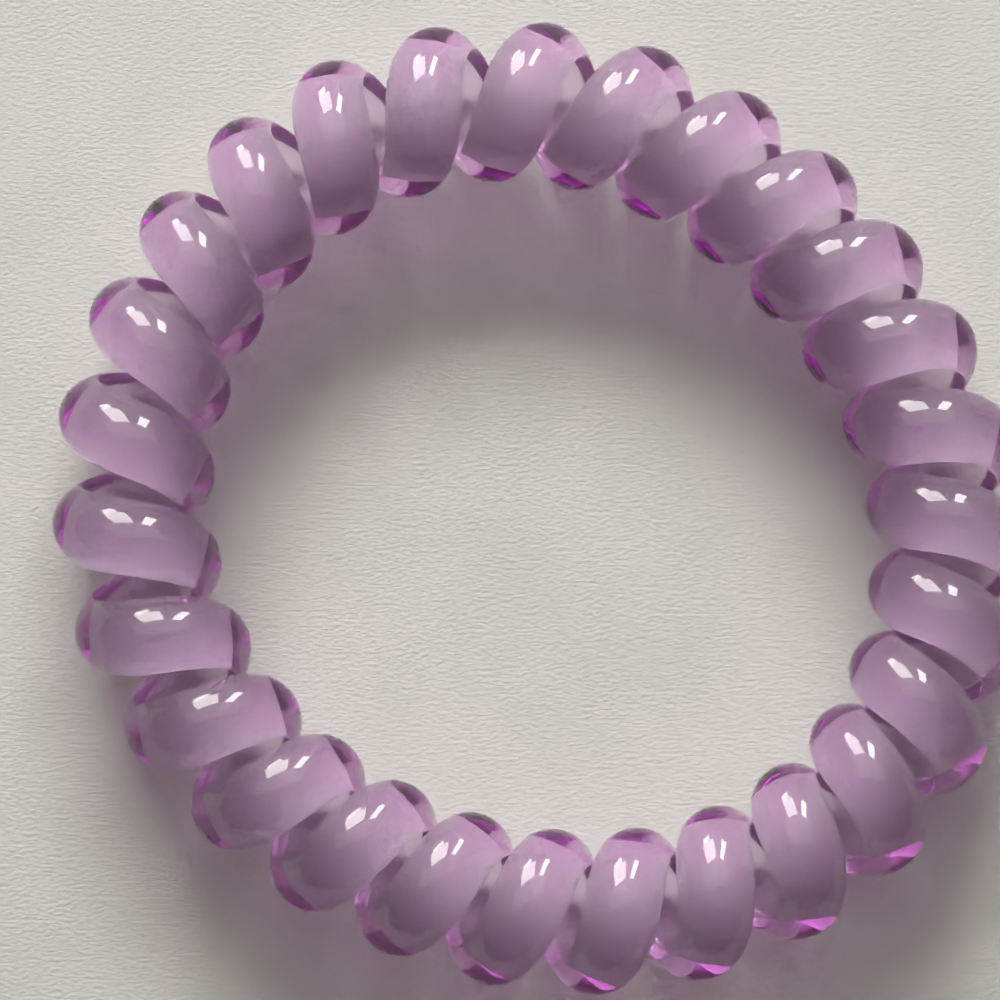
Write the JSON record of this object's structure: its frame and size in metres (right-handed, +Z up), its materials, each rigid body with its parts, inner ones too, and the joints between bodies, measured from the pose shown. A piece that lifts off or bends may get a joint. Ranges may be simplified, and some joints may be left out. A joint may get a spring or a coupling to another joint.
{
  "type": "spiral hair tie",
  "caption": "Springy coiled cord closed into a soft oval ring, worn round a ponytail or bun to hold the hair.",
  "frame": {"origin": "middle of the ring, on the surface that the tie lies on", "axes": "+Z up through the ring's opening, +X along the ring's longer side, +Y across it"},
  "size_m": [0.0518, 0.0479, 0.0083],
  "materials": {
    "cord_plastic": "gloss"
  },
  "bodies": {
    "root": {"spiral_coil": "cord_plastic"}
  },
  "joints": []
}
